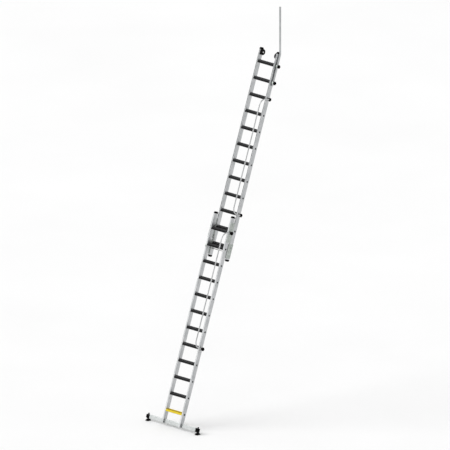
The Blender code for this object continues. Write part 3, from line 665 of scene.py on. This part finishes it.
# %% One tread
COVER = 0.0020
RIM = 0.0100
RECESS = 0.0012
STUD_GAP = 0.0016
STUD_RISE = 0.0008
STUD_ROWS, STUD_COLUMNS = 6, 26
TREAD_CORNER = 0.003
COVER_CORNER = 0.0035
COVER_INNER_CORNER = 0.002
LIP_ABOVE = 0.003  # lip's lower edge, above the underside
UNDER_RIM = 0.008
UNDER_RECESS = 0.002
MAT_GAP = 0.003  # between the mat and the rim, at the tread's front and rear
step_low, step_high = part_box("base_tread_01")


def tread_body():
    low = step_low + Vector((0, COVER, 0))
    high = step_high - Vector((0, COVER, COVER))
    body = round_long_edges(block("tread_body", low, high), TREAD_CORNER, axis=0)
    enter(body)
    pick("FACE", lambda face: face.normal.z < -FACING)
    bpy.ops.mesh.inset(thickness=UNDER_RIM, depth=-UNDER_RECESS)
    leave()
    return body


def tread_cover():
    """A shallow tray over the top, with lips down both long edges."""
    lip_low = Vector((step_low.x, step_low.y, step_low.z + LIP_ABOVE))
    cover = round_long_edges(block("tread_cover", lip_low, step_high), COVER_CORNER, axis=0)
    inner_low = step_low + Vector((-SPARE, COVER + HAIR / 2, -SPARE))
    inner_high = step_high + Vector((SPARE, -COVER - HAIR / 2, -COVER + HAIR))
    cut(cover, round_long_edges(block("inner", inner_low, inner_high), COVER_INNER_CORNER, axis=0))
    enter(cover)
    pick("FACE", lambda f: f.normal.z > 0.99 and f.calc_center_median().z > step_high.z - 1e-4)
    bpy.ops.mesh.inset(thickness=RIM, depth=-RECESS)
    leave()
    smooth(cover)
    return cover


def tread_mat():
    """A grid of studs: each cell is inset by itself, and its top is lifted."""
    edge = Vector((RIM + HAIR, RIM + HAIR + MAT_GAP, 0))
    low, high = step_low + edge, step_high - edge
    top = step_high.z - STUD_RISE
    middle = ((low.x + high.x) / 2, (low.y + high.y) / 2, top)
    bpy.ops.mesh.primitive_grid_add(
        x_subdivisions=STUD_COLUMNS, y_subdivisions=STUD_ROWS, size=1, location=middle
    )
    bpy.context.object.scale = (high.x - low.x, high.y - low.y, 1)
    mat = named("tread_mat")
    enter(mat)
    bpy.ops.mesh.select_mode(type="FACE")
    bpy.ops.mesh.inset(thickness=STUD_GAP, use_individual=True)
    bpy.ops.transform.translate(value=(0, 0, STUD_RISE))
    pick("EDGE", lambda edge: edge.is_boundary)
    bpy.ops.mesh.extrude_region_move(TRANSFORM_OT_translate={"value": (0, 0, STUD_RISE - RECESS)})
    bpy.ops.mesh.edge_face_add()
    bpy.ops.mesh.select_all(action="SELECT")
    bpy.ops.mesh.normals_make_consistent(inside=False)
    leave()
    return mat


body_master, cover_master, mat_master = tread_body(), tread_cover(), tread_mat()
smooth(body_master)
print("faces:", [len(p.data.polygons) for p in (body_master, cover_master, mat_master)])

# %% [markdown]
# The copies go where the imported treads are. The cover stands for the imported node, and the
# body and the mat come with it. Only the lowest tread of the base section is yellow.

# %% Copy the treads up both sections
for section, treads in (("base", base_treads), ("fly", fly_treads)):
    for tread in treads:
        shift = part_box(tread)[0] - step_low
        lowest = tread == base_treads[0]
        slot = "tread_yellow" if lowest else "tread_black"
        finishes = (yellow_cover, yellow_grit) if lowest else (black_cover, black_grit)
        body = twin(body_master, f"{tread}_body", shift)
        settle(body, tread_metal, section, "stile_aluminium", leaning=False)
        cover = twin(cover_master, f"{tread}_cover", shift)
        settle(cover, finishes[0], section, slot, tread, leaning=False)
        mat = twin(mat_master, f"{tread}_mat", shift)
        settle(mat, finishes[1], section, slot, leaning=False)
for master in (body_master, cover_master, mat_master):
    bpy.data.objects.remove(master)
print("treads:", len(base_treads) + len(fly_treads))

# %% [markdown]
# ## Crossbar
# The crossbar that carries the two feet is a flat hollow extrusion with grooves along both
# wide faces, which stiffen it and give it its striped look. It starts as a block with rounded
# long edges, and the grooves and the hollow are cut along it.

# %% Crossbar
BAR_GROOVES = 5
BAR_GROOVE_HALF = 0.0017
BAR_GROOVE_DEPTH = 0.0009
BAR_WALL = 0.0025
BAR_CORNER = 0.003
crossbar = round_long_edges(block("crossbar_profile", bar_low, bar_high), BAR_CORNER, axis=0)
stripes = []
for row in range(BAR_GROOVES):
    height = bar_low.z + (bar_high.z - bar_low.z) * (row + 1) / (BAR_GROOVES + 1)
    for face, inward in ((bar_low.y, 1), (bar_high.y, -1)):
        depth = sorted((face - inward * SPARE, face + inward * BAR_GROOVE_DEPTH))
        stripes.append(
            block(
                "stripe",
                (bar_low.x - SPARE, depth[0], height - BAR_GROOVE_HALF),
                (bar_high.x + SPARE, depth[1], height + BAR_GROOVE_HALF),
            )
        )
cut(crossbar, join("stripes", stripes))
wall = Vector((-SPARE, BAR_WALL, BAR_WALL))
cut(crossbar, block("hollow", bar_low + wall, bar_high - wall))
smooth(crossbar)
settle(crossbar, crossbar_metal, "base", "stile_aluminium", "crossbar")
print("crossbar faces:", len(crossbar.data.polygons))

# %% [markdown]
# ## Moulded end pieces, guides and clamps
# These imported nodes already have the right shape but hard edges. A moulded or punched piece
# always has a small radius, and that line of light along each edge is what makes it look
# real. A merged copy of each node gets a bevel on its sharp edges.

# %% Eased copies
EASED = (
    ("base_top_cap", "base", 0.0010, 2, black_nylon, "black_plastic"),
    ("fly_top_cap", "fly", 0.0010, 2, black_nylon, "black_plastic"),
    ("fly_bottom_cap", "fly", 0.0010, 2, black_nylon, "black_plastic"),
    ("base_guide", "base", 0.0005, 2, guide_metal, "guide_plate"),
    ("fly_guide", "fly", 0.0005, 2, guide_metal, "guide_plate"),
    ("foot_holder", "base", 0.0016, 3, black_nylon, "black_plastic"),
)
for stem, body, width, rounds, finish, slot in EASED:
    for label in SIDES:
        node = f"{stem}_{label}"
        settle(eased(node, f"{node}_eased", width, rounds), finish, body, slot, node)
for label in SIDES:
    node = f"latch_{label}"
    settle(eased(node, f"{node}_eased", 0.0007), zinc_steel, node, "zinc_steel", node)
for label in ("lower", "upper"):
    node = f"grab_clamp_{label}"
    settle(eased(node, f"{node}_eased", 0.0012), guide_metal, "fly", "guide_plate", node)

# %% [markdown]
# ## Feet
# The rubber pads tilt on a pin through the holder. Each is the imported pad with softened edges,
# and grooves across its sole, which is what grips the floor.

# %% Foot pads
SOLE_GROOVES = 5
SOLE_GROOVE_HALF = 0.002
SOLE_GROOVE_DEPTH = 0.0025
for label in SIDES:
    node = f"foot_pad_{label}"
    pad = eased(node, f"{node}_soled", 0.0015, leaning=False)
    low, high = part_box(node)
    grooves = []
    for row in range(SOLE_GROOVES):
        y = low.y + (high.y - low.y) * (row + 1) / (SOLE_GROOVES + 1)
        start = (low.x - SPARE, y - SOLE_GROOVE_HALF, low.z - SPARE)
        end = (high.x + SPARE, y + SOLE_GROOVE_HALF, low.z + SOLE_GROOVE_DEPTH)
        grooves.append(block("sole_groove", start, end))
    cut(pad, join("sole_grooves", grooves))
    smooth(pad)
    settle(pad, rubber, f"foot_{label}", "black_rubber", node, leaning=False)

# %% [markdown]
# ## Rails of bent tube
# A tube bender feeds the tube straight, then swings it round a former. The same moves work
# here: a circle is extruded along each straight run, and spun round the bend's centre at each
# corner. Spin turns the opposite way to the right-hand rule, so its angle is negative.

# %% Bending a tube
def bent_tube(name, corners, bends, radius, sides=24):
    """Extrude and spin a circle along straight runs joined by bends."""
    corners = [Vector(c) for c in corners]
    ways = [(b - a).normalized() for a, b in zip(corners, corners[1:])]
    turn = ways[0].to_track_quat("Z", "Y").to_euler()
    bpy.ops.object.select_all(action="DESELECT")
    bpy.ops.mesh.primitive_circle_add(vertices=sides, radius=radius, location=corners[0], rotation=turn)
    tube = named(name)
    enter(tube)
    here = corners[0]
    for i, way in enumerate(ways):
        last = i == len(ways) - 1
        angle = 0 if last else way.angle(ways[i + 1])
        back = 0 if last else bends[i] * tan(angle / 2)
        end = corners[i + 1] - way * back
        bpy.ops.mesh.extrude_region_move(TRANSFORM_OT_translate={"value": end - here})
        here = end
        if last:
            break
        after = ways[i + 1]
        inward = (after - way * way.dot(after)).normalized()
        centre = end + inward * bends[i]
        steps = max(4, round(angle / radians(9)))
        bpy.ops.mesh.spin(steps=steps, angle=-angle, center=centre, axis=way.cross(after).normalized())
        here = corners[i + 1] + after * back
    pick("EDGE", lambda edge: edge.is_boundary)
    bpy.ops.mesh.edge_face_add()
    leave()
    return close_up(tube)


def close_ends(tube):
    """Fill each open end of a tube."""
    enter(tube)
    bpy.ops.mesh.select_mode(type="EDGE")
    bpy.ops.mesh.select_all(action="DESELECT")
    bpy.ops.mesh.select_non_manifold()
    bpy.ops.mesh.fill_holes(sides=0)
    leave()
    return close_up(tube)


# %% [markdown]
# ### Handrails
# Each section has a rail on its right side. Its two feet are flat plates with a rounded
# outline, one behind each tread end, welded to the tube and held by a star knob.

# %% Handrails
TUBE_RADIUS = 0.010
FOOT_BEND = 0.024
RAIL_BEND = 0.120
PLATE = 0.004
TUBE_AHEAD = 0.028  # tube end on its plate, ahead of the stile's middle
PLATE_CORNER = 0.010
WELD = 0.003  # a bead's width and thickness
WELD_OUT = 0.0012  # its middle, off the plate


def handrail(section):
    node = f"{section}_handrail"
    low, high = ladder_box(node)
    stile_middle = middle_of(f"{section}_stile_right")
    out = high.x - TUBE_RADIUS
    forward = low.y + TUBE_RADIUS
    ahead = stile_middle.y - TUBE_AHEAD
    heights = rail_foot_heights(section)
    points = [TO_LADDER @ v.co for v in frame["nodes"][node].data.vertices]
    seats = [min(p.x for p in points if abs(p.z - h) <= BRACKET_HALF_HEIGHT) for h in heights]
    front = min(p.y for p in points if p.x < min(seats) + PLATE / 4)
    rear = max(p.y for p in points)
    corners = (
        (seats[0] + PLATE / 2, ahead, heights[0]),
        (out, ahead, heights[0]),
        (out, forward, heights[0]),
        (out, forward, heights[1]),
        (out, ahead, heights[1]),
        (seats[1] + PLATE / 2, ahead, heights[1]),
    )
    bends = (FOOT_BEND, RAIL_BEND, RAIL_BEND, FOOT_BEND)
    tube = close_ends(bent_tube(f"{node}_tube", corners, bends, TUBE_RADIUS))
    smooth(tube)
    settle(tube, rail_metal, section, "rail_tube", node)
    for label, height, seat in zip(("lower", "upper"), heights, seats):
        plate_low = (seat, front, height - BRACKET_HALF_HEIGHT)
        plate_high = (seat + PLATE, rear, height + BRACKET_HALF_HEIGHT)
        plate = block(f"{node}_foot_{label}", plate_low, plate_high)
        soften(round_long_edges(plate, PLATE_CORNER, rounds=5, axis=0), 0.0006)
        settle(plate, rail_metal, section, "rail_tube")
        bead_spot = (seat + PLATE + WELD_OUT, ahead, height)
        bead = drum(f"{node}_weld_{label}", TUBE_RADIUS + WELD, WELD, bead_spot, sides=24)
        soften(bead, 0.0013, 3)
        settle(bead, rail_metal, section, "rail_tube")
    return tube


for section in ("base", "fly"):
    rail = handrail(section)
    print(rail.name, "faces:", len(rail.data.polygons))

# %% [markdown]
# ### Grab rail
# One thicker tube runs beside the top of the fly's right stile, then bends upright, so that
# whoever climbs off has something to hold. Its lower run leans with the ladder, and its
# upper run is vertical: the bend is where the two lines cross.

# %% Grab rail
GRAB_RADIUS = 0.0165
GRAB_BEND = 0.110
GRAB_PLUG_RIM = 0.002
GRAB_PLUG_SLOPE = 0.001
GRAB_PLUG_DISH = 0.0015
TRIM = 0.00002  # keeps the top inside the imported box, however numbers are rounded
grab_low, grab_high = ladder_box("grab_rail")
world_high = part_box("grab_rail")[1]
x = (grab_low.x + grab_high.x) / 2
y = grab_high.y - GRAB_RADIUS
upright_y = world_high.y - GRAB_RADIUS
corner_z = (upright_y - y * cos(lean)) / sin(lean)
corner = Vector((x, y, corner_z))
top = TO_LADDER @ Vector((x, upright_y, world_high.z - TRIM))
grab = bent_tube("grab_rail_tube", ((x, y, grab_low.z), corner, top), (GRAB_BEND,), GRAB_RADIUS, 32)
close_ends(grab)
enter(grab)
pick("FACE", lambda face: len(face.verts) > 8)
bpy.ops.mesh.inset(thickness=GRAB_PLUG_RIM, use_individual=True)
bpy.ops.mesh.inset(thickness=GRAB_PLUG_SLOPE, depth=-GRAB_PLUG_DISH, use_individual=True)
leave()
soften(grab, 0.0006)
settle(grab, grab_metal, "grab_rail", "rail_tube", "grab_rail")
print("grab rail top, m:", round(world_high.z, 3), "bend at, m:", round((FROM_LADDER @ corner).z, 3))

# %% [markdown]
# ## Star knobs
# A star knob is a nylon disc with five lobes for the fingers, moulded round a steel stud. It
# starts as a short drum, the points between the lobes are pulled in, its outer face gets a
# raised boss, and a bevel rounds it all. Six of them hold the rails.

# %% Star knob
KNOB_RADIUS = 0.030
KNOB_THICKNESS = 0.021
LOBES = 5
KNOB_SIDES = 60
KNOB_FACE = ((0.0045, 0), (0.0015, -0.0015), (0.0025, 0), (0.001, 0.0012))  # in, and out
KNOB_BACK_RIM = 0.007
knob = drum("knob", KNOB_RADIUS, KNOB_THICKNESS, (KNOB_THICKNESS / 2, 0, 0), sides=KNOB_SIDES)
lobe_angle = 2 * pi / LOBES
enter(knob)
for reach, pull in ((0.50, 0.955), (0.38, 0.945), (0.25, 0.955), (0.12, 0.98)):

    def between_lobes(vert, reach=reach):
        angle = atan2(vert.co.z, vert.co.y) % lobe_angle
        return abs(angle - lobe_angle / 2) < reach * lobe_angle / 2 + 1e-4

    pick("VERT", between_lobes)
    bpy.ops.transform.resize(value=(1, pull, pull), center_override=(0, 0, 0))
pick("FACE", lambda face: face.normal.x > FACING)
for width, rise in KNOB_FACE:
    bpy.ops.mesh.inset(thickness=width, depth=rise)
pick("FACE", lambda face: face.normal.x < -FACING)
bpy.ops.mesh.inset(thickness=KNOB_BACK_RIM, depth=0)
bpy.ops.mesh.extrude_region_move(TRANSFORM_OT_translate={"value": (0, 0, 0)})
leave()
soften(knob, 0.0028, 4, 50)
print("knob faces:", len(knob.data.polygons))

# %% [markdown]
# Each knob turns about its own stud, a plain steel bar behind the head. Five lobes make a
# knob's box lopsided, so the middle of its round stem, not of its box, is where the stud goes.

# %% Place knobs and studs
STUD_RADIUS = 0.0045
STUD_HOLD = 0.002  # how far a stud goes into its head


def stem_middle(node):
    """Middle of the ring of points at the end of a knob's round stem, in ladder axes."""
    points = [TO_LADDER @ vert.co for vert in frame["nodes"][node].data.vertices]
    start = min(point.x for point in points)
    ring = [point for point in points if point.x < start + HAIR]
    return Vector([(min(p[i] for p in ring) + max(p[i] for p in ring)) / 2 for i in range(3)])


knob_nodes = sorted(n for n in frame["nodes"] if "knob" in n)
for node in knob_nodes:
    low, high = ladder_box(node)
    centre = stem_middle(node)
    head = twin(knob, f"{node}_head", (high.x - KNOB_THICKNESS, centre.y, centre.z))
    settle(head, black_nylon, node, "black_plastic", node)
    length = high.x - KNOB_THICKNESS - low.x + STUD_HOLD
    stud = drum(f"{node}_stud", STUD_RADIUS, length, (low.x + length / 2, centre.y, centre.z), sides=16)
    settle(soften(stud, 0.0006, 1), zinc_steel, node, "zinc_steel")
bpy.data.objects.remove(knob)
print("knobs:", len(knob_nodes))

# %% [markdown]
# ## Wall rollers
# Two soft wheels at the top let the ladder roll up the wall as it is raised. The tyre is
# rubber with a crowned tread and two grooves, and it runs on a black nylon hub. A light grey
# cap snaps over the head of the axle. All start as drums, their faces inset and pushed in.

# %% Rollers
HUB_RADIUS = 0.0148
AXLE_CAP_RADIUS = 0.0122
TYRE_WALL = ((0.012, 0), (0.0015, -0.003))  # in from the tyre's shoulder, and out
TYRE_GROOVE_OFFSET = 0.006
TYRE_GROOVE_WIDTH = 0.0022
TYRE_GROOVE_DEPTH = 0.0018
AXLE_HEAD = 0.0040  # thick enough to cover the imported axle's head


def roller(label, side):
    node = f"wall_roller_{label}"
    low, high = ladder_box(node)
    centre = (low + high) / 2
    level_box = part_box(node)
    radius, width = (level_box[1].y - level_box[0].y) / 2, high.x - low.x
    tyre = drum(f"{node}_tyre", radius, width, centre, sides=64)
    enter(tyre)
    pick("FACE", lambda face: abs(face.normal.x) > FACING)
    for inward, rise in TYRE_WALL:
        bpy.ops.mesh.inset(thickness=inward, depth=rise, use_individual=True)
    leave()
    soften(tyre, 0.0035, 4, 50)
    for offset in (-TYRE_GROOVE_OFFSET, TYRE_GROOVE_OFFSET):
        middle = centre + Vector((offset, 0, 0))
        ring = drum("ring", radius + SPARE, TYRE_GROOVE_WIDTH, middle, sides=64)
        core = drum("core", radius - TYRE_GROOVE_DEPTH, SPARE, middle, sides=64)
        cut(ring, core)
        cut(tyre, ring)
    cut(tyre, drum("seat", HUB_RADIUS + HAIR, width + SPARE, centre, sides=48))
    smooth(tyre)
    settle(tyre, rubber, f"roller_{label}", "black_rubber", node)
    hub = drum(f"{node}_hub", HUB_RADIUS, width - 0.001, centre, sides=48)
    enter(hub)
    pick("FACE", lambda face: abs(face.normal.x) > FACING)
    bpy.ops.mesh.inset(thickness=0.003, depth=-0.002, use_individual=True)
    leave()
    soften(hub, 0.0006, 2, 50)
    settle(hub, black_nylon, f"roller_{label}", "black_rubber")
    inner = low.x if side == RIGHT else high.x
    cap_middle = centre.copy()
    cap_middle.x = inner - side * (AXLE_HEAD / 2 + HAIR)
    cap = drum(f"{node}_axle_cap", AXLE_CAP_RADIUS, AXLE_HEAD + HAIR, cap_middle, sides=40)
    enter(cap)
    pick("FACE", lambda face: abs(face.normal.x) > FACING)
    bpy.ops.mesh.inset(thickness=0.003, depth=0, use_individual=True)
    bpy.ops.mesh.inset(thickness=0.001, depth=0.0006, use_individual=True)
    leave()
    soften(cap, 0.0005, 2, 50)
    settle(cap, grey_nylon, "fly", "black_plastic")
    return tyre


for label, side in SIDES.items():
    print(roller(label, side).name)

# %% [markdown]
# ## Steel fittings
# The tie rod pulls the fly's stiles together under its lowest tread, and has a nut and a
# washer at each end. The guide plates are held by button head bolts.

# %% Tie rod
NUT_RADIUS, NUT_THICKNESS = 0.0105, 0.008
NUT_IN = 0.0055  # a nut's middle, in from the rod's end
WASHER_RADIUS, WASHER_THICKNESS = 0.013, 0.0015
rod_low, rod_high = ladder_box("fly_tie_rod")
rod_middle = (rod_low + rod_high) / 2
rod_radius = (rod_high.y - rod_low.y) / 2
rod = drum("tie_rod_bar", rod_radius, rod_high.x - rod_low.x, rod_middle, sides=24)
settle(soften(rod, 0.0008, 1, 50), zinc_steel, "fly", "zinc_steel", "fly_tie_rod")
for label, side in SIDES.items():
    face = rod_high.x if side == RIGHT else rod_low.x
    nut_spot = (face - side * NUT_IN, rod_middle.y, rod_middle.z)
    nut = drum(f"tie_rod_nut_{label}", NUT_RADIUS, NUT_THICKNESS, nut_spot, sides=6)
    settle(soften(nut, 0.0008), zinc_steel, "fly", "zinc_steel")
    washer_spot = (face - side * WASHER_THICKNESS / 2, rod_middle.y, rod_middle.z)
    washer = drum(f"tie_rod_washer_{label}", WASHER_RADIUS, WASHER_THICKNESS, washer_spot)
    settle(soften(washer, 0.0004, 1), zinc_steel, "fly", "zinc_steel")
print("tie rod length, mm:", round(1000 * (rod_high.x - rod_low.x)))

# %% [markdown]
# A button head bolt is a low dome with a hexagon socket. The socket is cut, and the same bolt
# is copied to every place. The heads stand on the outer faces of the plates.

# %% Bolts
HEAD_RADIUS = 0.0055
HEAD_RISE = 0.0026
HEAD_DOME = 0.0014
SOCKET_RADIUS, SOCKET_LENGTH = 0.0024, 0.003
BOLT_INSET = 0.022  # from a guide plate's end
BOLT_APART = 0.026  # either side of the stile's middle
bolt = drum("bolt", HEAD_RADIUS, HEAD_RISE, (HEAD_RISE / 2, 0, 0), sides=24)
enter(bolt)
pick("FACE", lambda face: face.normal.x > FACING)
bpy.ops.mesh.bevel(offset=HEAD_DOME, segments=3, affect="EDGES")
leave()
cut(bolt, drum("socket", SOCKET_RADIUS, SOCKET_LENGTH, (HEAD_RISE, 0, 0), sides=6))
smooth(bolt, angle=40)


bolts = 0
for section in ("base", "fly"):
    for label, side in SIDES.items():
        low, high = ladder_box(f"{section}_guide_{label}")
        stile_y = middle_of(f"{section}_stile_{label}").y
        outside = high.x if side == RIGHT else low.x
        for height in (low.z + BOLT_INSET, (low.z + high.z) / 2, high.z - BOLT_INSET):
            if under_rail_foot(section, side, height, HEAD_RADIUS):
                continue
            for offset in (-BOLT_APART, BOLT_APART):
                spot = Vector((outside, stile_y + offset, height))
                name = f"{section}_guide_{label}_bolt_{bolts:02d}"
                copy = twin(bolt, name, spot, mirrored=side == LEFT)
                settle(copy, zinc_steel, section, "zinc_steel")
                bolts += 1
bpy.data.objects.remove(bolt)
print("bolts:", bolts)

# %% [markdown]
# ## Studio
# A wide pale floor, an even white sky and one broad soft sun from the front left. The stiles'
# front faces catch it, and their sides stay a shade darker, which shows the section's shape.

# %% Floor and sky
floor_finish = bpy.data.materials.new("matt_white_floor")
floor_finish.use_nodes = True
floor_tree = floor_finish.node_tree
floor_shader = floor_tree.nodes["Principled BSDF"]
floor_shader.inputs["Roughness"].default_value = 0.9
floor_place = add(floor_tree, "TexCoord")
haze = add(floor_tree, "TexNoise", {"Vector": floor_place.outputs["Object"], "Scale": 0.4})
floor_colour = two_tone(floor_tree, haze.outputs["Fac"], 0.2, 0.8, "#F4F4F4", "#F8F8F8")
floor_tree.links.new(floor_colour, floor_shader.inputs["Base Color"])
bpy.ops.mesh.primitive_plane_add(size=600, location=(0, 0, cad_bounds[0].z))
floor = named("studio_floor")
floor.data.materials.append(floor_finish)

sky = bpy.data.worlds.new("studio_sky")
sky.use_nodes = True
sky.node_tree.nodes["Background"].inputs["Color"].default_value = (1, 1, 1, 1)
sky.node_tree.nodes["Background"].inputs["Strength"].default_value = 0.75
bpy.context.scene.world = sky
bpy.context.scene.view_settings.view_transform = "Standard"

bpy.ops.object.light_add(type="SUN", rotation=(radians(50), 0, radians(-35)))
sun = bpy.context.object
sun.name = "soft_sun"
sun.data.energy = 1.6
sun.data.angle = radians(40)
print("sky and sun ready")

# %% [markdown]
# ## Camera
# Catalogue views of tall things keep parallel lines parallel, so this is a parallel
# projection. It looks from the front right, a little above level, and frames 7.4 metres.

# %% Camera
AZIMUTH = radians(45)
ELEVATION = radians(16.9)
DISTANCE = 40.0
FRAMED = 7.3855
back = Vector((sin(AZIMUTH) * cos(ELEVATION), -cos(AZIMUTH) * cos(ELEVATION), sin(ELEVATION)))
aim = Vector((-0.058, 1.266, 3.191))
bpy.ops.object.camera_add(location=aim + back * DISTANCE)
camera = bpy.context.object
camera.rotation_euler = (-back).to_track_quat("-Z", "Y").to_euler()
camera.data.type = "ORTHO"
camera.data.ortho_scale = FRAMED
camera.data.clip_end = 1000
bpy.context.scene.camera = camera
print("frame height, m:", camera.data.ortho_scale)
